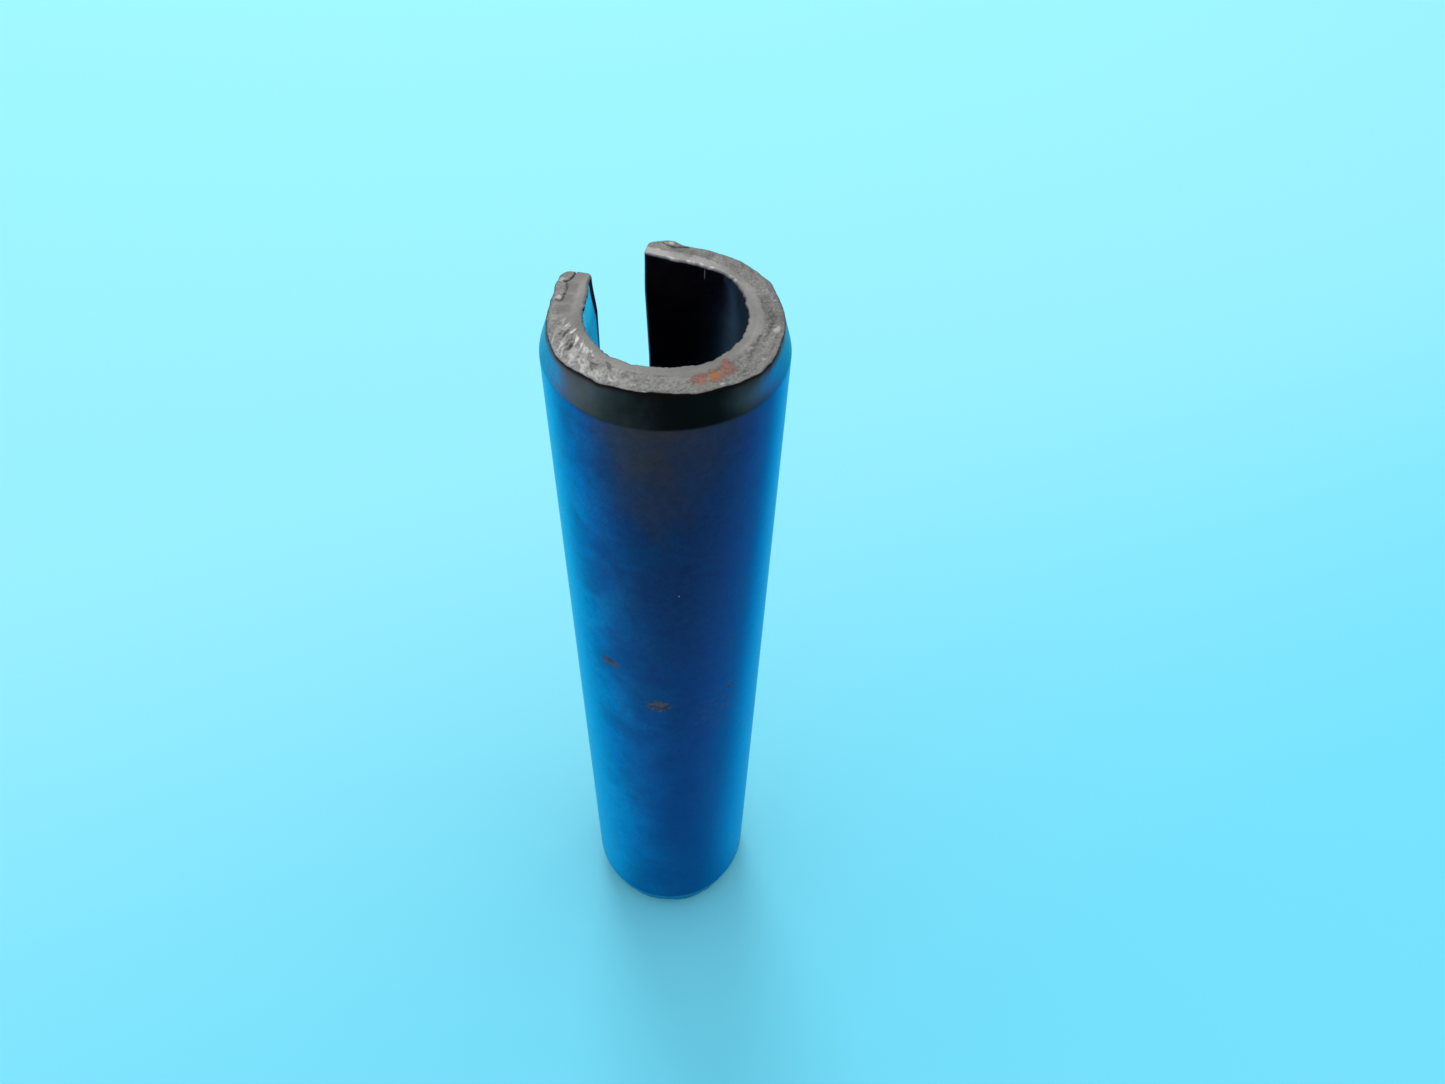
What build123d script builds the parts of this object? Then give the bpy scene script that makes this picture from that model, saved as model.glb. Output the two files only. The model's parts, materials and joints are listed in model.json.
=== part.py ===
from build123d import *
from math import asin, atan2, cos, hypot, sin
import os

# A slotted spring pin: a strip of spring steel rolled into an open C, with a tapered lead-in at both ends.
# It is unstressed, as before it is driven into its hole, and stands on one end with the slot towards +Y.

# Driving sizes, in mm
pin_length = 40.0  # end to end
round_diameter = 8.5  # outside, across the round of the roll
wall = 1.5  # thickness of the strip
slot_gap = 1.95  # between the strip's two edges, at the bore
lip_length = 1.36  # straight run that the rolling leaves along each edge of the strip
lead_in_length = 1.3  # the taper at each end, measured along the pin
lead_in_depth = 0.34  # how far the taper draws in at the end face
outer_edge_round = 0.3  # the strip's edges, on the outside
bore_edge_round = 0.15  # the strip's edges, on the bore side
end_edge_round = 0.1  # all round both end faces

# Sizes that follow from them
outer_radius = round_diameter / 2
bore_radius = outer_radius - wall
# Angle from the slot's middle where the round ends, so that straight lips of lip_length leave slot_gap open.
lip_angle = asin(slot_gap / 2 / hypot(bore_radius, lip_length)) + atan2(lip_length, bore_radius)
near = wall / 4  # an edge counts as lying on a line when its middle is nearer to it than this


def mirrored(point):
    return Vector(-point.X, point.Y)


def lip_points(radius):
    """Where the round of this radius turns straight, and where its lip ends, on the +X side of the slot."""
    start = Vector(radius * sin(lip_angle), radius * cos(lip_angle))
    along_lip = Vector(-cos(lip_angle), sin(lip_angle))
    return start, start + along_lip * lip_length


def strip_side(radius):
    """One side of the rolled strip: a round that runs out, tangent, into two straight lips."""
    start, end = lip_points(radius)
    return [
        Line(end, start),
        ThreePointArc(start, (0, -radius), mirrored(start)),
        Line(mirrored(start), mirrored(end)),
    ]


def rolled_section():
    """The C of the strip: its outside, its bore side, and the two square-cut edges that face the slot."""
    outer_corner, bore_corner = lip_points(outer_radius)[1], lip_points(bore_radius)[1]
    cut_edges = [Line(outer_corner, bore_corner), Line(mirrored(outer_corner), mirrored(bore_corner))]
    return make_face([*strip_side(outer_radius), *strip_side(bore_radius), *cut_edges])


def slot_edges(pin, radius):
    """The edges along the slot on this side of the strip, from end to end, tapered stretches included."""
    corner = lip_points(radius)[1]

    def runs_along_corner(edge):
        middle = edge @ 0.5
        aside = hypot(abs(middle.X) - corner.X, middle.Y - corner.Y)
        return aside < near and abs((edge % 0.5).Z) > abs((edge % 0.5).X)

    return pin.edges().filter_by(runs_along_corner)


def lead_in(pin, end):
    """Tapers the outside of the strip towards one end face."""
    outside = Curve() + strip_side(outer_radius)
    height = end.center().Z
    outline = end.edges().filter_by(lambda e: outside.moved(Pos(0, 0, height)).distance_to(e @ 0.5) < near)
    return chamfer(outline, lead_in_depth, lead_in_length, reference=end)


def spring_pin():
    pin = extrude(rolled_section(), pin_length)
    for lower_or_upper in (0, -1):
        pin = lead_in(pin, pin.faces().sort_by(Axis.Z)[lower_or_upper])
    pin = fillet(slot_edges(pin, outer_radius), outer_edge_round)
    pin = fillet(slot_edges(pin, bore_radius), bore_edge_round)
    for lower_or_upper in (0, -1):
        pin = fillet(pin.faces().sort_by(Axis.Z)[lower_or_upper].edges(), end_edge_round)
    return pin


os.makedirs("parts", exist_ok=True)
export_step(spring_pin(), "parts/spring_pin.step")
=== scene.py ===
import json
import math

import bmesh
import bpy
import numpy as np
from mathutils import Euler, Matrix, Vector


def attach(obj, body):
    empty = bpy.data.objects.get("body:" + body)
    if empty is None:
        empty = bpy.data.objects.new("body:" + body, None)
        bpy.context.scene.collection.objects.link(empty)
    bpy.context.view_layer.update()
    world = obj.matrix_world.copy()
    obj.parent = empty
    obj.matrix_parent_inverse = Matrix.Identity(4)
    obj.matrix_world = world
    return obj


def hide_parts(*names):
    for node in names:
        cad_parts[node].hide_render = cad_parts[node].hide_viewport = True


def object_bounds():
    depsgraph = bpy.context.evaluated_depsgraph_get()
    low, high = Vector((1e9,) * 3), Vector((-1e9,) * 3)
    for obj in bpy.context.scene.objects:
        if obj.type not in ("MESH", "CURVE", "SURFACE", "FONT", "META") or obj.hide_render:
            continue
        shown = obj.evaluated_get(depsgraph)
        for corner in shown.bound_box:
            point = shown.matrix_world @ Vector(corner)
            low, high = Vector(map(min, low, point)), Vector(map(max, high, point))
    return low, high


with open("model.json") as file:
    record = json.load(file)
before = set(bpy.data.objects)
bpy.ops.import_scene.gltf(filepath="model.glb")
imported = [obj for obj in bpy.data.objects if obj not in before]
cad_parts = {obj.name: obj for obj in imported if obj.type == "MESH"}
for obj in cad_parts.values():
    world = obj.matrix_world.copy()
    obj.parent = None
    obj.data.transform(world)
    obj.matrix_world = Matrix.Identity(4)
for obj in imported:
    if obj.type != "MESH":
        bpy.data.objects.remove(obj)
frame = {"record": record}
cadBox = [list(corner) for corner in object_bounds()]
mm = 0.001  # the pin's lengths below are in mm, Blender's own unit is the metre
print("frame loaded, CAD box", cadBox)


# Numpy helpers: noise, soft steps and distances on whole arrays

hashFactors = (374761393, 668265263, 2246822519)  # odd numbers that scatter column, row and seed
hashStir = np.uint64(1274126177)
lowBits = 0xFFFFFFFF


def latticeValue(column, row, seed):
    # an integer hash of the lattice point, as a number from -1 to 1
    byColumn, byRow, bySeed = hashFactors
    mixed = column.astype(np.int64) * byColumn + row.astype(np.int64) * byRow + seed * bySeed
    mixed = (mixed & lowBits).astype(np.uint64)
    mixed = ((mixed ^ (mixed >> np.uint64(13))) * hashStir) & np.uint64(lowBits)
    mixed = mixed ^ (mixed >> np.uint64(16))
    return mixed.astype(float) / 2 ** 31 - 1


def grain(x, y, seed):
    # value noise: the four lattice values round a point, mixed by the smooth step of its place between them
    column, row = np.floor(x), np.floor(y)
    u, v = x - column, y - row
    u, v = u * u * (3 - 2 * u), v * v * (3 - 2 * v)
    low = latticeValue(column, row, seed) * (1 - u) + latticeValue(column + 1, row, seed) * u
    high = latticeValue(column, row + 1, seed) * (1 - u) + latticeValue(column + 1, row + 1, seed) * u
    return low * (1 - v) + high * v


def fractal(x, y, seed, octaves=3):
    # octaves of grain, each twice as fine and half as strong as the one before
    layers = [grain(x * 2 ** k, y * 2 ** k, seed + k) / 2 ** k for k in range(octaves)]
    return sum(layers)


def softStep(x, low, high):
    # 0 below low, 1 above high, an S curve between them
    t = np.clip((x - low) / (high - low), 0, 1)
    return t * t * (3 - 2 * t)


def hump(x, centre, halfWidth):
    # a bell: e to minus the squared distance from its centre in half widths
    return np.exp(-((x - centre) / halfWidth) ** 2)


def lineDistance(x, y, points):
    # the distance of every point to the nearest stretch of a broken line
    nearest = np.full(np.broadcast(x, y).shape, np.inf)
    for (x0, y0), (x1, y1) in zip(points, points[1:]):
        along = ((x - x0) * (x1 - x0) + (y - y0) * (y1 - y0)) / ((x1 - x0) ** 2 + (y1 - y0) ** 2)
        along = np.clip(along, 0, 1)
        nearest = np.minimum(nearest, np.hypot(x - x0 - along * (x1 - x0), y - y0 - along * (y1 - y0)))
    return nearest


# Shader maths: one wrapped socket

class Wire:
    # an output socket, so that sums on values read as Python and add their own Math nodes
    def __init__(self, tree, socket=None):
        self.tree = tree
        self.socket = socket

    def node(self, kind, settings=None, inputs=None, out=0):
        # any node: its type, its settings, then the values or links of its sockets
        made = self.tree.nodes.new(kind)
        for name, value in (settings or {}).items():
            setattr(made, name, value)
        feed(made, inputs or {})
        return Wire(self.tree, made.outputs[out])

    def math(self, operation, *values):
        # one Math node on wires or numbers
        return self.node("ShaderNodeMath", {"operation": operation}, dict(enumerate(values)))

    def __add__(self, other):
        return self.math("ADD", self, other)

    def __radd__(self, other):
        return self.math("ADD", other, self)

    def __sub__(self, other):
        return self.math("SUBTRACT", self, other)

    def __rsub__(self, other):
        return self.math("SUBTRACT", other, self)

    def __mul__(self, other):
        return self.math("MULTIPLY", self, other)

    def __rmul__(self, other):
        return self.math("MULTIPLY", other, self)

    def __truediv__(self, other):
        return self.math("DIVIDE", self, other)

    def __rtruediv__(self, other):
        return self.math("DIVIDE", other, self)

    def __pow__(self, other):
        return self.math("POWER", self, other)

    def atMost(self, other):
        return self.math("MINIMUM", self, other)

    def atLeast(self, other):
        return self.math("MAXIMUM", self, other)

    def step(self, low, high):
        # 0 at low, 1 at high, an S curve between them; low may be the larger
        settings = {"interpolation_type": "SMOOTHSTEP", "clamp": True}
        return self.node("ShaderNodeMapRange", settings, {"Value": self, "From Min": low, "From Max": high})

    def between(self, first, second):
        # this value as the share of the second colour in a mix
        colours = [c if isinstance(c, Wire) else (*c, 1) for c in (first, second)]
        inputs = {0: self, 6: colours[0], 7: colours[1]}
        return self.node("ShaderNodeMix", {"data_type": "RGBA"}, inputs, out=2)

    def times(self, shade):
        # this colour darkened or lightened by a grey value
        settings = {"data_type": "RGBA", "blend_type": "MULTIPLY"}
        grey = self.node("ShaderNodeCombineColor", None, {0: shade, 1: shade, 2: shade})
        return self.node("ShaderNodeMix", settings, {0: 1.0, 6: self, 7: grey}, out=2)


def feed(node, sockets):
    # links or sets a node's sockets, by name or number
    for key, value in sockets.items():
        if isinstance(value, Wire):
            value.tree.links.new(value.socket, node.inputs[key])
        else:
            node.inputs[key].default_value = value


def newMaterial(name):
    # a material, its Principled shader, and a wire from which its other nodes start
    material = bpy.data.materials.new(name)
    material.use_nodes = True
    shader = material.node_tree.nodes["Principled BSDF"]
    return material, shader, Wire(material.node_tree)


# Spring pin: a flat rounded plate in strip coordinates, then rolled
# run: along the strip's middle line, 0 opposite the slot
# depth: across its thickness, outwards; height: up the pin; all in mm

boreMount = next(m for m in frame["record"]["mounts"] if m["name"] == "bore")

pin = {
    "node": "spring_pin",
    "slot": "blackened_steel",
    "length": (cadBox[1][2] - cadBox[0][2]) / mm,
    "outerRadius": -cadBox[0][1] / mm,
    "slotGap": 1.95,  # between the strip's edges, at the bore
    "lip": 1.36,  # straight run beside the slot
    "leadLength": 1.3,
    "leadDepth": 0.34,
    "outerRound": 0.3,  # strip's edges, outside
    "boreRound": 0.15,  # strip's edges, bore side
    "endRound": 0.1,  # all round the end faces
    "sharpTip": 0.9,  # share of that round that the shear left off the slot edges
    "leadBlend": 0.06,  # how softly the lead-in runs out into the side
    "coneStop": 2.0,  # blends above the lead-in's end where its even rows stop
    "runOutReach": (-1.2, 3.0),  # blends above and below it that the closer rows cover
    "leadEdge": 0.05,  # half width of the colour's edge there
    "lipSpread": (0.1, 0.13),  # how far the left and right lip reach into the slot at the upper end
    "lipSpreadDown": 4.5,
    "lipSpreadDepth": (0.3, 0.7),  # it fades out between these, so the outer corners keep to the gauge circle
    "sidePoints": 520,  # across the strip, on each side
    "cutPoints": 16,  # across a slot edge, between its corners
    "cornerPoints": 7,
    "faceRows": 19,
    "faceCrowding": 0.9,  # below 1, the rows crowd towards the middle line
    "roundRows": 5,
    "leadRows": 7,
    "runOutRows": 7,
    "bodyRows": 12,
}

# What shearing, hammering and rust did to the upper end face, with its painted shade and highlights, as (run,
# depth) places; each seed picks a noise
endFace = {
    # the shear left a smooth band along the bore, out to this depth at these runs
    "bandRun": [-9.6, -8.0, -7.0, -6.3, -5.6, -4.8, -2.5, -1.0, 0.5, 3.6, 5.9, 7.3, 8.2, 8.9, 9.6],
    "bandEdge": [-0.02, 0.0, -0.12, -0.3, -0.38, -0.32, -0.45, -0.3, -0.35, -0.28, -0.3, -0.27, -0.17,
                 -0.11, -0.1],
    "bandSoft": 0.12,
    "bandWander": 0.04,  # how far that edge strays
    "bandSeed": 7,
    "bandPerMm": 1.7,  # how often, along the run
    "frayPerMm": 7.0,  # and how fine its frayed edge is
    "roll": 0.03,  # how far the smooth band drops towards the bore
    "rollFrom": -0.4,
    "rollWide": 0.3,
    "outerRoll": 0.02,  # and the face towards its outer rim
    "outerRollFrom": 0.15,
    "outerRollWide": 0.2,
    "below": 0.01,  # the whole face, under the end plane
    "coarse": 0.02,  # height of the torn grain
    "fine": 0.012,
    "coarsePerMm": (5.0, 6.0),  # how fine that grain is along the run and in depth
    "finePerMm": (17.0, 17.0),
    # middle, half width, how proud: where hammering spread the rim, and where the bore's edge stands back
    "rimSwell": [(-5.2, 1.1, 0.14), (-7.7, 0.7, -0.07), (0.85, 1.35, 0.24)],
    "rimBack": 0.02,  # how far the rim stays back elsewhere
    "lowerSwell": 0.05,  # how uneven the lower end's rim is
    "rimBumps": [(-3.85, 0.3, 0.08), (-9.3, 0.6, 0.06), (-1.1, 0.5, 0.06), (5.2, 0.4, 0.06), (6.3, 0.6, 0.04),
                 (9.0, 0.4, 0.18)],
    "rimRagged": 0.03,
    "boreSwell": [(6.2, 1.3, 0.21), (8.5, 1.6, 0.17), (9.6, 0.7, 0.21), (7.1, 0.5, -0.04), (-9.5, 0.9, 0.2),
                  (-4.7, 0.4, 0.05), (-2.0, 0.9, -0.05), (-0.1, 0.3, 0.05)],
    "boreBurr": (0.05, 0.03),  # the bore's sharp burr at the upper and lower end
    "boreRagged": 0.03,
    "raggedPerMm": 2.6,
    "fadeFrom": 0.05,  # distance from the end at which what happened to the rim starts to fade
    "raggedDown": 0.3,  # how far down from the rim its raggedness reaches
    "bumpsDown": 1.0,
    "flareDown": 1.8,  # and how far down the bore stands back
    "linePerMm": 9.0,  # how fine the ragged edges of lines and places are
    "placePerMm": 8.0,
    # marks along broken lines
    "lineMarks": {
        "crack": {"width": 0.035, "ragged": 0.35, "seed": 23, "lines": [
            [(-9.7, -0.04), (-9.41, -0.01), (-9.2, 0.05), (-9.11, 0.16), (-9.13, 0.24)],
            [(9.24, 0.36), (9.05, 0.25), (8.82, 0.19), (8.48, 0.24), (8.33, 0.33)],
        ]},
        # edges of lifted scale
        "ledge": {"width": 0.035, "ragged": 0.4, "seed": 27, "lines": [
            [(-9.1, 0.13), (-8.72, 0.0), (-8.38, 0.0), (-8.14, -0.04), (-8.03, 0.06), (-8.09, 0.22)],
        ]},
        "groove": {"width": 0.17, "ragged": 0.5, "seed": 33, "lines": [
            [(4.17, -0.2), (3.49, -0.01), (3.12, 0.07), (2.47, 0.01), (2.15, -0.14), (1.47, -0.08),
             (1.05, -0.03)],
        ]},
        # two rows of ridges that the hammer raised, and the hollow between them
        "rows": {"width": 0.26, "ragged": 0.3, "seed": 37, "lines": [
            [(-7.1, -0.02), (-6.87, -0.15), (-6.34, -0.27), (-5.58, -0.35), (-4.99, -0.2)],
            [(-7.2, 0.15), (-6.51, 0.29), (-5.67, 0.3), (-4.49, 0.36), (-3.95, 0.27), (-3.6, 0.17)],
        ]},
        "hollow": {"width": 0.32, "ragged": 0.4, "seed": 39, "lines": [
            [(-6.8, 0.05), (-6.25, -0.06), (-5.6, -0.1), (-4.93, -0.04), (-4.37, 0.05)],
        ]},
    },
    "batteredFrom": (-7.2, -6.2),  # runs between which the hammering sets in
    "strokeLean": 0.8,  # run per depth of the hammer's strokes
    "strokeNarrow": 1.25,  # how much a stroke narrows along the run and stretches in depth
    "strokeShake": 0.12,  # how far they stray from that lean
    "shakePerMm": (3.1, 4.3),  # how often, along the run and in depth
    "strokePerMm": (11.0, 2.8),  # and how close the facets are
    # marks round places: run, depth, radius; a stroke leans, the others are round
    "placeMarks": {
        "chipAndGlint": {"stroke": True, "ragged": 0.4, "seed": 45, "places": [
            (-7.11, 0.22, 0.14), (-6.63, -0.22, 0.18), (-6.24, -0.32, 0.18), (-6.06, 0.35, 0.16),
            (-5.71, 0.24, 0.19), (-5.72, -0.29, 0.2), (-5.45, -0.36, 0.22), (-5.1, -0.3, 0.25),
            (-4.87, -0.4, 0.16), (-5.06, 0.29, 0.22), (-4.8, 0.23, 0.19), (-4.52, 0.34, 0.27),
            (-3.98, 0.28, 0.3), (-3.63, 0.17, 0.18),
        ]},
        "pit": {"stroke": True, "ragged": 0.4, "seed": 29, "places": [
            (-7.03, -0.15, 0.09), (-6.57, -0.06, 0.1), (-6.32, -0.1, 0.07), (-5.61, -0.02, 0.12),
            (-5.68, -0.18, 0.1), (-5.14, -0.03, 0.12), (-4.78, -0.11, 0.1), (-4.36, 0.08, 0.09),
            (-3.92, -0.24, 0.17), (-8.38, 0.02, 0.09),
        ]},
        "glint": {"stroke": False, "ragged": 0.4, "seed": 43, "places": [
            (-8.2, 0.16, 0.16), (9.16, 0.33, 0.1), (8.92, 0.43, 0.14), (1.28, 0.36, 0.1),
            (2.8, 0.22, 0.18), (4.2, 0.22, 0.09), (-0.33, 0.44, 0.1), (-9.16, 0.34, 0.16),
        ]},
        "shade": {"stroke": False, "ragged": 0.3, "seed": 35, "places": [
            (-2.8, -0.13, 0.35), (-3.31, -0.15, 0.2), (4.4, -0.05, 0.25), (3.3, 0.03, 0.25),
            (7.6, 0.05, 0.3), (8.6, 0.2, 0.5), (8.15, -0.05, 0.35), (-7.6, -0.16, 0.36),
            (-8.2, -0.17, 0.38), (-8.8, -0.12, 0.38), (0.2, -0.15, 0.35),
        ]},
        "rust": {"stroke": False, "ragged": 0.3, "seed": 31, "places": [
            (-0.85, -0.04, 0.34), (-0.35, -0.04, 0.34), (0.17, -0.1, 0.36), (0.4, -0.45, 0.16),
        ]},
        # where the rust is brightest
        "fresh": {"stroke": False, "ragged": 0.25, "seed": 47, "places": [
            (-0.3, -0.06, 0.22), (-0.56, 0.07, 0.14),
        ]},
    },
    # how far each mark lies below the face, or stands above it
    "sinks": {"crack": 0.09, "groove": 0.03, "trough": 0.05, "pit": 0.03, "ledge": 0.02, "ridge": -0.03,
              "glint": -0.02},
    # painted shade along the left slot edge: its width, how much wider at the end, and where that fades
    "slotShadeWide": 0.22,
    "slotShadeMore": 0.25,
    "slotShadeDown": (0.3, 2.5),
    "burrRun": (4.5, 6.5),  # runs between which the burrs' painted glints set in along the bore's rim
    "burrInward": (0.03, 0.2),  # share of the face that they reach over
}


def stripSizes():
    # the flat strip's sizes that follow from the driving ones, as the CAD works them out
    outer, bore = pin["outerRadius"], boreMount["dims"]["r_mm"]
    wall = outer - bore
    lipAngle = math.asin(pin["slotGap"] / 2 / math.hypot(bore, pin["lip"])) + math.atan2(pin["lip"], bore)
    middle = bore + wall / 2
    arcRun = middle * (math.pi - lipAngle)
    return {"half": wall / 2, "middle": middle, "arcRun": arcRun, "tipRun": arcRun + pin["lip"]}


strip = stripSizes()


def edgeLoop():
    # once round the strip's rounded rectangle: share of the run, side (0 outside, 1 bore), outward direction
    quarter = np.linspace(0, math.pi / 2, pin["cornerPoints"] + 2)
    across = np.linspace(-1, 1, pin["sidePoints"])
    down = np.linspace(0, 1, pin["cutPoints"] + 2)[1:-1]
    outside = np.stack([across, across * 0, across * 0, across * 0 + 1])
    outerCorner = np.stack([quarter * 0 + 1, quarter * 0, np.sin(quarter), np.cos(quarter)])[:, 1:]
    cut = np.stack([down * 0 + 1, down, down * 0 + 1, down * 0])
    boreCorner = np.stack([quarter * 0 + 1, quarter * 0 + 1, np.cos(quarter), -np.sin(quarter)])[:, :-1]
    boreSide = np.stack([across[::-1], across * 0 + 1, across * 0, across * 0 - 1])
    rightEnd = np.concatenate([outerCorner, cut, boreCorner], 1)
    leftEnd = rightEnd[:, ::-1] * np.array([[-1], [1], [-1], [1]])
    return np.concatenate([outside, rightEnd, boreSide, leftEnd], 1)


def endRows():
    # from the end face's middle line out to its edge, over the round and down the lead-in, one row each
    radius, lead, depth = pin["endRound"], pin["leadLength"], pin["leadDepth"]
    slope = depth / lead
    turn = math.pi / 2 - math.atan(slope)
    reach = radius * math.tan(turn / 2)
    inward = np.linspace(1, 0, pin["faceRows"]) ** pin["faceCrowding"]
    angle = np.linspace(0, 1, pin["roundRows"] + 1)[1:]
    start = radius * (1 - math.cos(turn))
    cone = np.linspace(start, lead - pin["coneStop"] * pin["leadBlend"], pin["leadRows"] + 1)[1:]
    closer = lead + pin["leadBlend"] * np.linspace(*pin["runOutReach"], pin["runOutRows"])
    leadDepths = np.concatenate([cone, closer])
    bottom = leadDepths[-1]
    downLead = (leadDepths - start) / (bottom - start)
    left = lead - leadDepths
    runOut = slope * (left + np.sqrt(left ** 2 + pin["leadBlend"] ** 2)) / 2
    overRound = depth + reach - radius * np.sin(turn * angle)
    overEdge = radius * (1 - np.sin(angle * math.pi / 2))
    edgeDepths = radius * (1 - np.cos(angle * math.pi / 2))
    onLead = 1 - softStep(leadDepths, lead - pin["leadEdge"], lead + pin["leadEdge"])
    return {
        "inward": np.concatenate([inward, angle * 0, downLead * 0]),
        "draw": np.concatenate([inward * 0 + depth + reach, overRound, runOut]),
        "outerDown": np.concatenate([inward * 0, radius * (1 - np.cos(turn * angle)), leadDepths]),
        "inset": np.concatenate([inward * 0 + radius, overEdge, downLead * 0]),
        "edgeDown": np.concatenate([inward * 0, edgeDepths, radius + (bottom - radius) * downLead]),
        "face": np.concatenate([inward * 0 + 1, 1 - angle ** 2, downLead * 0]),
        "lead": np.concatenate([inward * 0, angle, onLead]),
    }


def pinRows():
    # the upper end's rows, the plain side's rows, and the lower end's rows in reverse
    end = endRows()
    first = end["outerDown"][-1]
    plain = np.linspace(first, pin["length"] - first, pin["bodyRows"] + 2)[1:-1]
    rows = {}
    for name, values in end.items():
        goesDown = name.endswith("Down")
        body = plain if goesDown else plain * 0
        lower = pin["length"] - values[::-1] if goesDown else values[::-1]
        rows[name] = np.concatenate([values, body, lower])[:, None]
    rows["upper"] = np.concatenate([np.ones(len(values)), plain * 0 + 0.5, np.zeros(len(values))])[:, None]
    return rows


def humps(run, table):
    # the sum of bells, each as proud as its row of the table says
    return sum(proud * hump(run, centre, half) for centre, half, proud in table)


def rimSwell(run, upper):
    # how much less the lead-in draws in at the rim, where hammering spread the metal
    lower = endFace["lowerSwell"] * grain(run * 0.8, run * 0 + 5, 17)
    return np.where(upper > 0.5, humps(run, endFace["rimSwell"]) - endFace["rimBack"], lower)


def rimBumps(run, upper):
    # the upper rim's small bumps, none at the lower end
    return np.where(upper > 0.5, humps(run, endFace["rimBumps"]), 0)


def boreSwell(run, upper):
    # how far the bore's rim stands back into the wall, less its sharp burr
    upperBurr, lowerBurr = endFace["boreBurr"]
    return np.where(upper > 0.5, humps(run, endFace["boreSwell"]) - upperBurr, -lowerBurr)


def ragged(run, seed):
    # noise along the run alone
    return fractal(run * endFace["raggedPerMm"], run * 0, seed)


def torn(run, depth):
    # the torn part of a sheared face: 1 there, 0 on the smooth band along the bore
    seed, wander = endFace["bandSeed"], endFace["bandWander"]
    strays = grain(run * endFace["bandPerMm"], run * 0, seed)
    edge = np.interp(run, endFace["bandRun"], endFace["bandEdge"]) + wander * strays
    frayed = depth + wander * fractal(run * endFace["frayPerMm"], depth * endFace["frayPerMm"], seed + 1)
    return softStep(frayed, edge, edge + endFace["bandSoft"])


def nearLines(run, depth, mark):
    # 1 on the nearest of a mark's broken lines, 0 at its width from them, with a ragged edge
    nearest = np.min([lineDistance(run, depth, line) for line in mark["lines"]], 0)
    fine = endFace["linePerMm"]
    frayed = nearest / mark["width"] + mark["ragged"] * fractal(run * fine, depth * fine, mark["seed"])
    return 1 - softStep(frayed, 0.2, 1)


def nearPlaces(run, depth, mark):
    # 1 in the middle of places that each have their own radius, 0 at their ragged edge
    # a stroke is narrower along the run, longer in depth, and leans
    lean, narrow = (endFace["strokeLean"], endFace["strokeNarrow"]) if mark["stroke"] else (0.0, 1.0)
    reach = np.max([1 - np.hypot((run - r - lean * (depth - d)) * narrow, (depth - d) / narrow) / size
                    for r, d, size in mark["places"]], 0)
    fine = endFace["placePerMm"]
    return softStep(reach + mark["ragged"] * fractal(run * fine, depth * fine, mark["seed"]), 0, 0.6)


def faceMarks(run, depth):
    # every kind of mark on the upper end face, from 0 to 1
    marks = {name: nearLines(run, depth, mark) for name, mark in endFace["lineMarks"].items()}
    marks.update({name: nearPlaces(run, depth, mark) for name, mark in endFace["placeMarks"].items()})
    hollow, chipsAndGlints = marks["hollow"], marks["chipAndGlint"]
    battered = np.maximum(marks["rows"], hollow) * (0.35 + 0.65 * softStep(run, *endFace["batteredFrom"]))
    # hammered facets: noise that is close together along the strip, long across it, and leans
    perRun, perDepth = endFace["shakePerMm"]
    shaken = endFace["strokeShake"] * grain(run * perRun, depth * perDepth, 53)
    perRun, perDepth = endFace["strokePerMm"]
    facets = fractal((run - endFace["strokeLean"] * depth + shaken) * perRun, depth * perDepth, 13)
    # besides their relief, raised ridges and chips are painted bright, partly as highlight, and troughs dark
    # as shade
    raised = 0.7 * battered * softStep(facets, -0.1, 0.8) * (1 - 0.4 * hollow)
    marks["ridge"] = np.maximum(raised, 0.95 * chipsAndGlints * softStep(facets, -0.9, 0.25))
    marks["trough"] = battered * softStep(-facets, -0.2, 0.7) * (0.35 + 0.6 * hollow) * (1 - 0.8 * chipsAndGlints)
    marks["pit"] = marks["pit"] * softStep(-facets, -0.6, 0.2)
    return marks


def faceRelief(run, depth, upper, marks):
    # how far below the end plane a point of the face lies: the sum of its roll, torn grain, dents and cracks
    seedShift = np.where(upper > 0.5, 0.0, 40.0)
    rolled = endFace["roll"] * np.clip((endFace["rollFrom"] - depth) / endFace["rollWide"], 0, 1) ** 1.6
    outward = np.clip((depth - endFace["outerRollFrom"]) / endFace["outerRollWide"], 0, 1)
    outerRoll = endFace["outerRoll"] * outward ** 2
    perRun, perDepth = endFace["coarsePerMm"]
    grainHeight = endFace["coarse"] * (0.5 + 0.5 * fractal(run * perRun + seedShift, depth * perDepth, 3))
    perRun, perDepth = endFace["finePerMm"]
    fineHeight = endFace["fine"] * (0.5 + 0.5 * fractal(run * perRun + seedShift, depth * perDepth, 5))
    chatter = 0.6 + 0.6 * fractal(run * 4 + depth * 5, depth * 2, 15)
    sunk = {**marks, "trough": marks["trough"] * chatter}
    marked = sum(sink * sunk[name] for name, sink in endFace["sinks"].items())
    below = endFace["below"] + rolled + outerRoll + (grainHeight + fineHeight) * torn(run, depth)
    return np.clip(below + np.where(upper > 0.5, marked, 0), 0, None)


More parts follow.
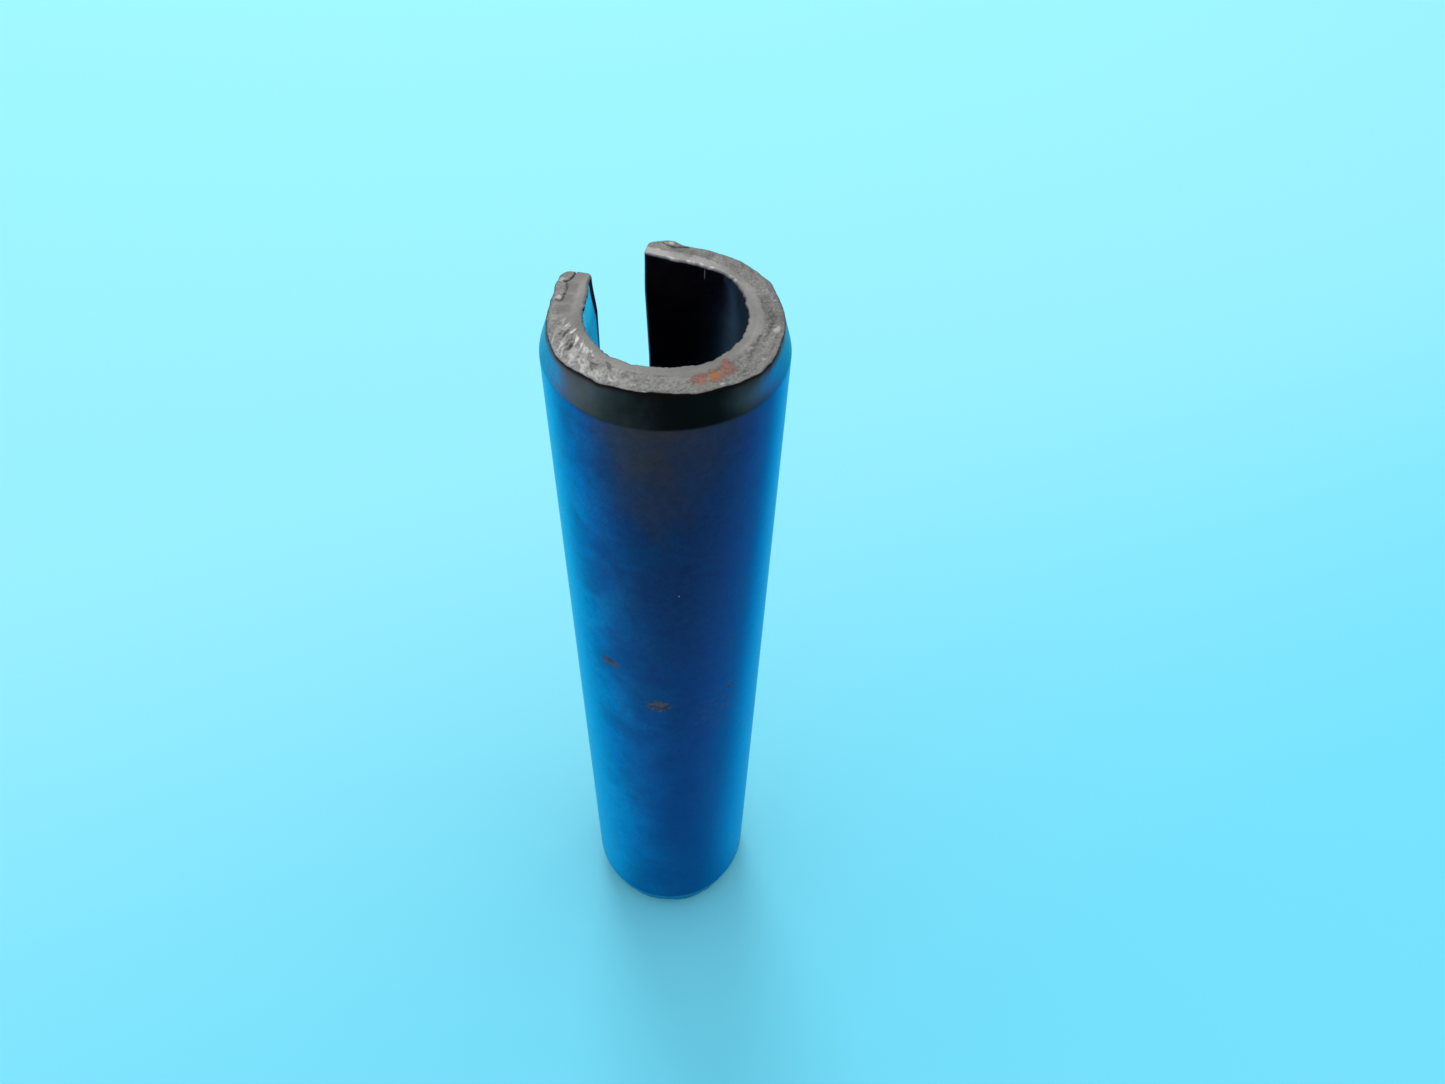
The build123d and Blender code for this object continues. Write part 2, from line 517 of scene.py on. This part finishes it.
def stripSection(rows, share, side, outRun, outDepth):
    # every row's rounded rectangle, shrunk towards its middle line on the end faces, as run and depth
    half, inset, inward = strip["half"], rows["inset"], rows["inward"]
    outerEdge, boreEdge = half - rows["draw"], inset - half
    tip = strip["tipRun"] - inset * np.where(rows["upper"] > 0.5, 1 - pin["sharpTip"], 1)
    centre, halfFace = (outerEdge + boreEdge) / 2, (outerEdge - boreEdge) / 2
    outerEdge = outerEdge + (centre - outerEdge) * inward
    boreEdge = boreEdge + (centre - boreEdge) * inward
    tip = tip - halfFace * inward
    outerRound = (pin["outerRound"] - inset) * (1 - inward)
    boreRound = (pin["boreRound"] - inset) * (1 - inward)
    radius = outerRound + (boreRound - outerRound) * side
    run = share * (tip - radius) + radius * outRun
    depth = (outerEdge - outerRound) * (1 - side) + (boreEdge + boreRound) * side + radius * outDepth
    return run, depth


def rollUp(run, depth):
    # bends the strip round the bore's axis as far as its arc goes; what is left of the run stays straight
    bend = np.clip(run, -strip["arcRun"], strip["arcRun"]) / strip["middle"]
    straight = run - bend * strip["middle"]
    x = (strip["middle"] + depth) * np.sin(bend) + straight * np.cos(bend)
    y = straight * np.sin(bend) - (strip["middle"] + depth) * np.cos(bend)
    return x, y


def pinSurface():
    # the section's rows with spread lips, battered rims and a rough face, rolled up, and the colours' masks
    share, side, outRun, outDepth = (values[None, :] for values in edgeLoop())
    rows = pinRows()
    upper, inward = rows["upper"], rows["inward"]
    atTop = upper > 0.5
    run, depth = stripSection(rows, share, side, outRun, outDepth)
    outside = np.clip(outDepth, 0, 1) ** 2 * (3 - 2 * np.clip(outDepth, 0, 1)) * (side < 0.5)
    boreSide = np.where(side > 0.5, np.clip(-outDepth, 0, 1), 0)
    down = rows["edgeDown"] + (rows["outerDown"] - rows["edgeDown"]) * outside
    fromEnd = np.minimum(down, pin["length"] - down)

    # the lips lean into the slot
    spread = np.where(run < 0, *pin["lipSpread"]) * softStep(np.abs(run), strip["arcRun"], strip["tipRun"])
    spread = spread * (1 - softStep(down, 0, pin["lipSpreadDown"]))
    spread = spread * (1 - softStep(depth, *pin["lipSpreadDepth"]))
    run = run + np.sign(run) * spread

    def fade(reach):
        # 1 at the rim, 0 at reach from the end and on the face's middle line
        return (1 - softStep(fromEnd, endFace["fadeFrom"], reach)) * (1 - inward)

    # the rims
    rim = rimSwell(run, upper) * fade(pin["leadLength"]) + rimBumps(run, upper) * fade(endFace["bumpsDown"])
    depth = depth + (1 - side) * rim
    depth = depth + side * boreSwell(run, upper) * fade(endFace["flareDown"])
    burrShare = fade(endFace["raggedDown"])
    depth = depth + outside * endFace["rimRagged"] * ragged(run, 11) * burrShare
    depth = depth + boreSide * endFace["boreRagged"] * ragged(run * 1.6, 41) * burrShare

    # the end faces
    marks = faceMarks(run, depth)
    relief = faceRelief(run, depth, upper, marks) * rows["face"]
    down = down + np.where(atTop, relief, -relief)
    x, y = rollUp(run, depth)
    points = np.stack([x, y, pin["length"] - down], -1)

    # what the material reads
    onFace = rows["face"] + 0 * run
    topFace = np.where(atTop, onFace, 0)
    # painted shade along the left slot edge inside the bore, wider at the top
    slotShadeReach = endFace["slotShadeWide"] + endFace["slotShadeMore"] * (1 - softStep(down, *endFace["slotShadeDown"]))
    slotEdgeShade = softStep(-run, strip["tipRun"] - slotShadeReach, strip["tipRun"] - 0.7 * slotShadeReach)
    # painted glints on the burrs along the bore's rim
    burrGlints = softStep(ragged(run * 2, 51), 0.1, 0.7) * softStep(run, *endFace["burrRun"])
    burrGlints = burrGlints * boreSide * (1 - softStep(inward, *endFace["burrInward"]))
    # painted shade: pits, grooves, shade places and the troughs between hammered ridges
    dark = [marks["pit"], 0.4 * marks["groove"], 0.6 * marks["shade"], 0.6 * marks["trough"]]
    masks = {
        "stripRun": run,
        "stripDepth": depth,
        "sheared": onFace,
        # the lead-ins, painted near black as shade, less of it at the lower end
        "leadIn": rows["lead"] * outside * np.where(atTop, 1, 0.4),
        "torn": torn(run, depth) * onFace,
        # painted shade in cracks and under the edges of lifted scale
        "recessShade": np.maximum(marks["crack"], 0.6 * marks["ledge"]) * topFace,
        # the slot's cut faces and the left slot edge in the bore, painted as shade
        "cutFace": np.maximum(softStep(-outRun, 0.6, 0.95), boreSide * slotEdgeShade) * (1 - onFace),
        # painted highlights on hammered ridges, glints and burrs, over bare chipped metal
        "chipAndGlint": np.max([marks["ridge"], 0.75 * marks["glint"], 0.8 * burrGlints], 0) * topFace,
        "pit": np.max(dark, 0) * topFace,
        "rust": marks["rust"] * topFace,
        "freshRust": marks["fresh"] * topFace,
    }
    return points * mm, masks


mergeWithin = 1e-7  # metres


def gridMesh(name, points, masks):
    # joins rows into four-sided faces, closes the loop, and merges the two middle lines that close the ends
    rowCount, loopCount = points.shape[:2]
    index = np.arange(rowCount * loopCount).reshape(rowCount, loopCount)
    upperRow, lowerRow = index[:-1], index[1:]
    faces = np.stack([upperRow, lowerRow, np.roll(lowerRow, -1, 1), np.roll(upperRow, -1, 1)], -1)
    mesh = bpy.data.meshes.new(name)
    mesh.from_pydata(points.reshape(-1, 3), [], faces.reshape(-1, 4))
    for mask, values in masks.items():
        layer = mesh.attributes.new(mask, "FLOAT", "POINT")
        layer.data.foreach_set("value", values.astype(np.float32).ravel())
    work = bmesh.new()
    work.from_mesh(mesh)
    bmesh.ops.remove_doubles(work, verts=work.verts, dist=mergeWithin)
    bmesh.ops.recalc_face_normals(work, faces=work.faces)
    work.to_mesh(mesh)
    work.free()
    mesh.shade_smooth()
    piece = bpy.data.objects.new(name, mesh)
    bpy.context.scene.collection.objects.link(piece)
    return piece


# Blackened spring steel: blue black on the rolled strip, bare grey on the sheared ends, rust in places

steel = {
    # navy and blue: painted shade, the strip is darker higher up where it reflects darker surroundings
    "navy": (0.02, 0.024, 0.078),
    "blue": (0.002, 0.01, 0.12),
    "violet": (0.022, 0.013, 0.06),
    "teal": (0.006, 0.04, 0.1),
    "headOn": (0.015, 0.017, 0.028),  # the strip seen square on, from the side
    # charcoal: painted shade, a dark reflection of the surroundings in front, round the top and lowest at the
    # front
    "charcoal": (0.075, 0.047, 0.05),
    "charcoalDark": (0.055, 0.028, 0.034),  # on its right, darker still: painted shade
    # the lead-in's near black is painted shade, standing in for the dark surroundings that it reflects
    "leadIn": (0.01, 0.0058, 0.0054),
    "wornLeadIn": (0.165, 0.118, 0.112),
    "bore": (0.06, 0.03, 0.04),
    # near black on the slot's cut faces and along the left slot edge in the bore: painted shade
    "cutFace": (0.003, 0.004, 0.01),
    "sheared": (0.135, 0.131, 0.125),
    "tornGrey": (0.205, 0.199, 0.187),
    # light grey: bare chipped metal on the hammered rim, partly painted highlight on ridges, glints and burrs
    "chipAndGlint": (0.5, 0.49, 0.475),
    # near black: painted shade in cracks, scale edges, pits, grooves and troughs
    "recessShade": (0.012, 0.011, 0.011),
    "rustBrown": (0.28, 0.14, 0.11),
    "rustRed": (0.41, 0.18, 0.13),
    "rustOrange": (0.48, 0.175, 0.045),
    "rustOnSide": (0.2, 0.085, 0.07),
    "rustDarkOnSide": (0.045, 0.035, 0.045),
    "fleck": (0.3, 0.3, 0.3),
    "film": (0.002, 0.14, 0.42),  # the oxide film's own gloss, seen at a slant
    "filmDark": (0.004, 0.085, 0.3),  # in patches
    "filmTeal": (0.002, 0.18, 0.44),
    "filmViolet": (0.012, 0.07, 0.29),
    "filmPale": (0.045, 0.28, 0.62),  # towards the outline
    "filmRight": (0.001, 0.02, 0.21),  # on the strip's right half: painted shade, as less light falls on that side
    # the right half's pale and lead-in film colours are darker too: painted shade
    "filmPaleRight": (0.01, 0.17, 0.52),
    "filmLead": (0.13, 0.18, 0.39),  # on the lead-in
    "filmLeadRight": (0.07, 0.1, 0.3),
    "filmBore": (0.16, 0.25, 0.54),  # in the bore, by the left lip
    "filmCoat": 0.06,
    "filmEdge": (0.22, 1.0, 1.0),  # the film's tint edge on
    "filmRoughness": 0.34,
    "headOnUntil": 0.1,  # slants between which the strip turns from black to blue, 0 face on and 1 edge on
    "headOnGone": 0.27,
    "headOnLow": 0.14,  # how much later near the foot: painted shade, the pin's shadow on the floor in front reflected there
    "filmFrom": 0.32,  # slants between which the film's gloss takes over
    "filmFull": 0.68,
    "filmPaleFrom": 0.6,
    "filmPaleFull": 0.85,
    "filmLate": 0.03,  # added to both slants on the strip's right half: painted shade, the film shows later there
    "filmLateLow": 0.03,  # more of that low down
    "filmEarly": 0.04,  # taken off them on the left half, low down and high up
    "filmLowHeight": (14.0, 2.0),  # heights between which low down and high up set in
    "filmHighHeight": (28.0, 35.0),
    "filmLateHeight": (28.0, 8.0),
    "filmRightRun": (-5.5, 1.5),  # runs between which the right half's slants set in, and its colours
    "filmRightColourRun": (-5.0, 0.0),
    "filmTealRun": (1.0, -4.0),
    "filmBoreRun": (-2.0, -6.0),
    "filmUpperEdge": (39.55, 39.8),  # heights between which it wears off towards the rim
    "boreFilmFrom": 0.42,
    "boreFilmFull": 0.6,
    # painted shade: the bore's film sets in later towards its right wall and ends there
    "boreFilmLate": 0.3,
    "boreFilmLateRun": (-2.0, 3.0),
    "boreFilmEnd": (3.0, -2.0),
    "broadSize": 4.5,  # mm across the mottling's features
    "filmDarkSize": 2.9,
    "filmTealSize": 3.7,
    "tealSize": 2.4,
    "patchSize": 1.3,
    "speckleSize": 0.35,
    "grainSize": 0.09,
    "violetShare": 0.55,
    "tealShare": 0.5,
    "outsideFrom": (0.1, 0.3),  # depths between which bore turns to outside
    "navyFrom": 6.0,  # heights between which blue turns to navy, and navy to charcoal: painted shade, darker towards the top
    "navyFull": 30.0,
    "navyMottle": 14.0,  # mm that the broad mottling moves that border
    "charcoalMiddle": -2.1,  # run where charcoal reaches furthest down, and how fast it ends higher beside it
    "charcoalReach": 1.9,
    "charcoalLower": 3.5,
    "charcoalFrom": 31.0,
    "charcoalFull": 39.0,
    "charcoalDarkRun": (-3.3, -2.0),
    "footHeight": (34.0, 6.0),  # heights between which headOnLow sets in
    "wornHeight": (39.95, 39.75),  # and where wear starts below the rim
    # painted light and shade on the end face: runs between which each sets in or ends
    "bevelRun": (5.5, 7.5),
    "bevelTipRun": (8.4, 9.3),
    "leftBevelRun": (-6.8, -8.0),
    "innerRowRun": (0.6, 1.6),
    "innerRowEnd": (6.2, 5.2),
    "dimmedRun": (2.0, 4.5),
    "brightRun": (-6.8, -5.2),
    "brightEnd": (-0.8, -4.0),
    "roughness": 0.36,
    "bumpStrength": 0.25,
    "bumpDepth": 0.02,  # mm
    "specular": 0.1,
    # angle round the pin, height up it, half width, half height
    "worn": [(-86, 39.3, 3.2, 2.0), (14, 39.3, 1.5, 1.2)],
    "whisker": (120.3, 39.7, 0.024, 0.32),
    "rustSpots": [(-67.5, 24.8, 0.4, 0.34), (-38, 22.4, 0.52, 0.62), (6.5, 22.7, 0.16, 0.22),
                  (5.5, 26.2, 0.1, 0.16)],
    "rustVeil": (-2, 21.2, 1.0, 1.5),
    "fleckSpot": (-26.3, 30.2, 0.025, 0.06),
}


def spotCover(run, height, ragged, spot, soft=0.5):
    # 1 inside a ragged oval at an angle round the pin and a height up it, both radii in mm
    angle, spotHeight, halfWide, halfTall = spot
    middle = math.radians(angle) * strip["middle"]
    aside = (run - middle) / halfWide
    above = (height - spotHeight) / halfTall
    reach = 1 - (aside * aside + above * above) ** 0.5
    return (reach + ragged).step(0.0, soft)


def blackenedSteel():
    # strip, end face and rust colours mixed by the mesh's masks, with the oxide film's gloss over the strip
    material, shader, start = newMaterial("blackenedSteel")

    def mask(name):
        # one of the mesh's own values
        return start.node("ShaderNodeAttribute", {"attribute_name": name}, out="Fac")

    place = start.node("ShaderNodeTexCoord", out="Object")
    height = start.node("ShaderNodeSeparateXYZ", None, {0: place}, out="Z") * (1 / mm)

    def noise(size, detail=3.0, rough=0.55):
        # features about size mm across
        inputs = {"Vector": place, "Scale": 1 / (size * mm), "Detail": detail, "Roughness": rough}
        return start.node("ShaderNodeTexNoise", None, inputs, out="Fac")

    run, sheared, rough, leadIn = mask("stripRun"), mask("sheared"), mask("torn"), mask("leadIn")
    cutFace = mask("cutFace")
    broad, patches = noise(steel["broadSize"]), noise(steel["patchSize"])
    speckle, grainy = noise(steel["speckleSize"]), noise(steel["grainSize"], 2.0)
    depth = mask("stripDepth")
    outside = depth.step(*steel["outsideFrom"])

    # the blued strip
    # painted shade: blue low down turns to navy higher up, standing in for the darker surroundings reflected
    # there
    dimmer = (height + (broad - 0.5) * steel["navyMottle"]).step(steel["navyFrom"], steel["navyFull"])
    blued = dimmer.between(steel["blue"], steel["navy"])
    inPatches = patches.step(0.5, 0.66)
    blued = (inPatches * steel["violetShare"]).between(blued, steel["violet"])
    blued = (noise(steel["tealSize"]).step(0.52, 0.68) * steel["tealShare"]).between(blued, steel["teal"])
    slant = start.node("ShaderNodeLayerWeight", None, {"Blend": 0.5}, out="Facing")
    # painted shade: near the foot the strip stays black to a larger slant
    squarer = slant - height.step(*steel["footHeight"]) * steel["headOnLow"]
    blued = squarer.step(steel["headOnUntil"], steel["headOnGone"]).between(steel["headOn"], blued)
    # painted shade: a charcoal top standing in for the dark surroundings in front reflected there, lowest at
    # the front and darker on the right
    aside = (run - steel["charcoalMiddle"]) / steel["charcoalReach"]
    lower = (aside * aside) ** 0.5 * steel["charcoalLower"]
    paintedDarkTop = height - lower + (broad - 0.5) * 6 + (patches - 0.5) * 5
    paintedDarkTop = paintedDarkTop.step(steel["charcoalFrom"], steel["charcoalFull"]) * outside * 0.95
    charcoal = run.step(*steel["charcoalDarkRun"]).between(steel["charcoal"], steel["charcoalDark"])
    blued = paintedDarkTop.between(blued, charcoal)
    blued = ((1 - outside) * 0.6).between(blued, steel["bore"])
    blued = blued.times(0.5 + speckle * 0.6 + grainy * 0.4)
    left, right = (spotCover(run, height, (patches - 0.5) * 0.6, spot, 1.0) for spot in steel["worn"])
    worn = left.atLeast(right * 0.5) * height.step(*steel["wornHeight"]) * leadIn
    # the lead-in: near black painted shade, grey where it is worn
    blued = leadIn.between(blued, worn.between(steel["leadIn"], steel["wornLeadIn"]))
    # the worn lead-in and the painted dark top are both made matte
    wearAndDarkTop = worn.atLeast(paintedDarkTop * (1 - leadIn)) * (1 - sheared)
    # painted shade: near black on the cut faces and along the left slot edge
    blued = cutFace.between(blued, steel["cutFace"])
    fleck = spotCover(run, height, 0.0, steel["fleckSpot"]) * outside
    whisker = spotCover(run, height, 0.0, steel["whisker"]) * (1 - outside)
    blued = fleck.atLeast(whisker * 0.8).between(blued, steel["fleck"])

    # the bare end faces
    bare = (rough * 0.85).between(steel["sheared"], steel["tornGrey"])
    # painted highlight: the bevel bands that slope towards the bore are lighter, and so is a thin row along
    # it on the right; besides, the torn face darkens past run 2 and the battered left is lighter
    bevel = (run.step(*steel["bevelRun"]) + run.step(*steel["bevelTipRun"]) * 0.5) * (1 - rough)
    leftBevel = run.step(*steel["leftBevelRun"]) * depth.step(-0.3, -0.5)
    innerRow = depth.step(-0.6, -0.4) * depth.step(-0.1, -0.35)
    innerRow = innerRow * run.step(*steel["innerRowRun"]) * run.step(*steel["innerRowEnd"])
    dimmed = run.step(*steel["dimmedRun"]) * rough
    bright = run.step(*steel["brightRun"]) * run.step(*steel["brightEnd"])
    broadShade = 1 + bevel * 0.5 + leftBevel * 0.2 + innerRow * 0.3 - dimmed * 0.1 + bright * 0.27
    grit = ((speckle - 0.5) * 0.6 + (grainy - 0.5) * 1.5) * (rough * 0.55 + 0.45)
    bare = bare.times((grit + 1) * broadShade)
    # painted shade in pits, grooves and troughs
    bare = (mask("pit") * 0.45).between(bare, steel["recessShade"])
    # bare chipped metal and painted highlights in light grey
    bare = (mask("chipAndGlint") * 0.6).between(bare, steel["chipAndGlint"])
    # painted shade in cracks and under scale edges
    bare = mask("recessShade").between(bare, steel["recessShade"])
    isBare = sheared.step(0.35, 0.8)
    surface = isBare.between(blued, bare)

    # rust: on the end face from the mesh, on the side as ragged spots
    ragged = (speckle - 0.5) * 1.4 + (patches - 0.5) * 0.8
    spots = [spotCover(run, height, ragged, spot) for spot in steel["rustSpots"]]
    onSide = spots[0]
    for spot in spots[1:]:
        onSide = onSide.atLeast(spot)
    veil = spotCover(run, height, ragged * 1.6, steel["rustVeil"]) * speckle.step(0.45, 0.7) * 0.5
    onSide = onSide.atLeast(veil) * (1 - sheared) * outside
    rust = (mask("rust") * 0.8).atLeast(onSide * 0.8)
    rustColour = (grainy * 0.6 + speckle * 0.4).step(0.42, 0.6).between(steel["rustBrown"], steel["rustRed"])
    rustColour = mask("freshRust").between(rustColour, steel["rustOrange"])
    sideColour = speckle.step(0.4, 0.6).between(steel["rustDarkOnSide"], steel["rustOnSide"])
    rustColour = sheared.between(sideColour, rustColour)
    surface = rust.between(surface, rustColour)

    # gloss, grain and what is metal
    gloss = steel["roughness"] + (patches - 0.5) * 0.2 + (grainy - 0.5) * 0.12
    gloss = gloss + sheared * (0.18 + rough * 0.08) + rust * 0.35 + cutFace * 0.5 + wearAndDarkTop * 0.25
    bumpHeight = grainy * (0.5 + sheared * (rough + 0.5)) + speckle * 0.5 + rust * 0.6
    bump = start.node("ShaderNodeBump", None, {
        "Strength": steel["bumpStrength"],
        "Distance": steel["bumpDepth"] * mm,
        "Height": bumpHeight,
    })
    feed(shader, {
        "Base Color": surface,
        "Metallic": 1 - rust.atLeast(fleck).atLeast(whisker).atLeast(wearAndDarkTop) * 0.9,
        "Specular IOR Level": steel["specular"],
        "Roughness": gloss.atMost(0.95),
        "Normal": bump,
    })

    # the oxide film's gloss grows with the slant at which it is seen
    filmColour = noise(steel["filmDarkSize"]).step(0.42, 0.6).between(steel["filmDark"], steel["film"])
    tealPatches = noise(steel["filmTealSize"]).step(0.5, 0.66) * run.step(*steel["filmTealRun"])
    filmColour = tealPatches.between(filmColour, steel["filmTeal"])
    filmColour = (inPatches * 0.45).between(filmColour, steel["filmViolet"])
    # painted shade: darker film colours on the strip's right half
    onRight = run.step(*steel["filmRightColourRun"]) * outside
    filmColour = (onRight * 0.92).between(filmColour, steel["filmRight"])
    pale = slant.step(steel["filmPaleFrom"], steel["filmPaleFull"]) * outside
    filmColour = pale.between(filmColour, onRight.between(steel["filmPale"], steel["filmPaleRight"]))
    filmColour = leadIn.between(filmColour, onRight.between(steel["filmLead"], steel["filmLeadRight"]))
    filmColour = ((1 - outside) * run.step(*steel["filmBoreRun"])).between(filmColour, steel["filmBore"])
    film = start.node("ShaderNodeBsdfPrincipled", None, {
        "Base Color": filmColour.times(0.5 + speckle * 0.5 + grainy * 0.6),
        "Specular Tint": (*steel["filmEdge"], 1),
        "Metallic": 1.0,
        "Roughness": outside * 0.1 + (steel["filmRoughness"] - 0.1),
        "Coat Weight": steel["filmCoat"],
        "Coat Roughness": steel["filmRoughness"],
    })
    # painted shade: on the right half the film sets in later, more so low down; on the left half it sets in
    # earlier low down and high up
    low, high = height.step(*steel["filmLowHeight"]), height.step(*steel["filmHighHeight"])
    rightHalf = run.step(*steel["filmRightRun"])
    late = rightHalf * (steel["filmLate"] + steel["filmLateLow"] * height.step(*steel["filmLateHeight"]))
    late = late - (1 - rightHalf) * (low + high) * steel["filmEarly"]
    onOutside = (slant - late).step(steel["filmFrom"], steel["filmFull"])
    # painted shade: less of the film on the bore's right wall
    lateInBore = run.step(*steel["boreFilmLateRun"]) * steel["boreFilmLate"]
    inBore = (slant - lateInBore).step(steel["boreFilmFrom"], steel["boreFilmFull"])
    inBore = inBore * run.step(*steel["boreFilmEnd"])
    share = inBore + (onOutside - inBore) * outside
    upperEdge = height.step(*steel["filmUpperEdge"]) * leadIn
    share = share * (0.6 + patches * 0.4 + grainy * 0.4) * (1 - worn * slant.step(0.62, 0.42) * 0.8)
    share = share * (1 - cutFace) * (1 - isBare) * (1 - rust) * (1 - upperEdge * 0.8)
    share = share.atMost(1.0)
    plain = Wire(start.tree, shader.outputs[0])
    mixed = start.node("ShaderNodeMixShader", None, {0: share, 1: plain, 2: film})
    output = next(n for n in start.tree.nodes if n.type == "OUTPUT_MATERIAL")
    start.tree.links.new(mixed.socket, output.inputs["Surface"])
    return material


points, masks = pinSurface()
springPin = gridMesh("springPin", points, masks)
springPin.data.materials.append(blackenedSteel())
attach(springPin, "root")
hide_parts(pin["node"])
springPin.data.calc_loop_triangles()
print("spring pin", len(springPin.data.vertices), "points", len(springPin.data.loop_triangles), "triangles")


# Stage: a pale blue floor, one large soft lamp behind, a sky that is dimmer in front

stage = {
    "floorSize": 1.6,  # metres, as the lamp's place and size are
    # painted shade: the floor's blue is deeper near the camera and paler far off
    "floorNear": (0.2, 0.78, 0.97),
    "floorFar": (0.34, 0.86, 0.97),
    "floorRoughness": 0.9,
    "floorSpecular": 0.1,
    "paleHeading": 12.0,  # degrees clockwise from +Y
    "paleFrom": -20.0,  # mm along that heading
    "paleTo": 40.0,
    "skyFront": (0.5, 0.64, 0.71),
    "skyBack": (0.92, 0.95, 0.98),
    "skyTurn": (-0.8, 0.6),  # how far towards the back the sky turns from one to the other, -1 to 1
    "lampPlace": (0.12, 0.30, 0.34),
    "lampSize": 0.2,
    "lampPower": 0.6,  # watts
}

camera = {
    "place": (-14.506, -23.785, 61.337),
    "heading": 35.977,  # degrees clockwise from +Y
    "pitch": 49.756,  # degrees down
    "roll": 2.89,
    "lens": 26.059,
    "sensor": 36.0,
    "nearest": 0.001,  # metres
}


def floorMaterial():
    # two blues mixed by how far a point lies along the pale heading: painted shade, a deeper blue towards the
    # camera where less light falls
    material, shader, start = newMaterial("paleBlueCard")
    place = start.node("ShaderNodeTexCoord", out="Object")
    across = start.node("ShaderNodeSeparateXYZ", None, {0: place}, out="X")
    along = start.node("ShaderNodeSeparateXYZ", None, {0: place}, out="Y")
    turn = math.radians(stage["paleHeading"])
    away = (across * math.sin(turn) + along * math.cos(turn)) * (1 / mm)
    pale = away.step(stage["paleFrom"], stage["paleTo"])
    feed(shader, {
        "Base Color": pale.between(stage["floorNear"], stage["floorFar"]),
        "Roughness": stage["floorRoughness"],
        "Specular IOR Level": stage["floorSpecular"],
    })
    return material


def makeFloor():
    # a flat grid of two by two points, in the plane that the pin stands on
    edge = stage["floorSize"] / 2
    x, y = np.meshgrid([-edge, edge], [-edge, edge])
    corners = np.stack([x, y, x * 0 + cadBox[0][2]], -1).reshape(-1, 3)
    mesh = bpy.data.meshes.new("floor")
    mesh.from_pydata(corners, [], [(0, 1, 3, 2)])
    mesh.materials.append(floorMaterial())
    floor = bpy.data.objects.new("floor", mesh)
    bpy.context.scene.collection.objects.link(floor)


def makeLight():
    # a sky that brightens along the camera's heading, and a disc lamp turned to the pin's foot
    world = bpy.data.worlds.new("softSky")
    world.use_nodes = True
    start = Wire(world.node_tree)
    facing = start.node("ShaderNodeTexCoord", out="Generated")
    across = start.node("ShaderNodeSeparateXYZ", None, {0: facing}, out="X")
    along = start.node("ShaderNodeSeparateXYZ", None, {0: facing}, out="Y")
    turn = math.radians(camera["heading"])
    away = across * math.sin(turn) + along * math.cos(turn)
    sky = away.step(*stage["skyTurn"]).between(stage["skyFront"], stage["skyBack"])
    feed(world.node_tree.nodes["Background"], {"Color": sky})
    bpy.context.scene.world = world
    lamp = bpy.data.lights.new("softBox", "AREA")
    lamp.shape = "DISK"
    lamp.size = stage["lampSize"]
    lamp.energy = stage["lampPower"]
    holder = bpy.data.objects.new("softBox", lamp)
    holder.location = stage["lampPlace"]
    holder.rotation_euler = (-Vector(stage["lampPlace"])).to_track_quat("-Z", "Y").to_euler()
    bpy.context.scene.collection.objects.link(holder)


def makeCamera():
    # roll about its own axis, then tip down, then turn to its heading
    lens = bpy.data.cameras.new("camera")
    lens.lens = camera["lens"]
    lens.sensor_width = camera["sensor"]
    lens.clip_start = camera["nearest"]
    holder = bpy.data.objects.new("camera", lens)
    holder.location = Vector(camera["place"]) * mm
    turned = Euler((0, 0, math.radians(camera["roll"]))).to_matrix()
    tipped = Euler((math.radians(90 - camera["pitch"]), 0, 0)).to_matrix()
    headed = Euler((0, 0, -math.radians(camera["heading"]))).to_matrix()
    holder.rotation_euler = (headed @ tipped @ turned).to_euler()
    bpy.context.scene.collection.objects.link(holder)
    bpy.context.scene.camera = holder


makeFloor()
makeLight()
makeCamera()
bpy.context.scene.view_settings.view_transform = "Standard"
print("floor, lamp, sky and camera in place")
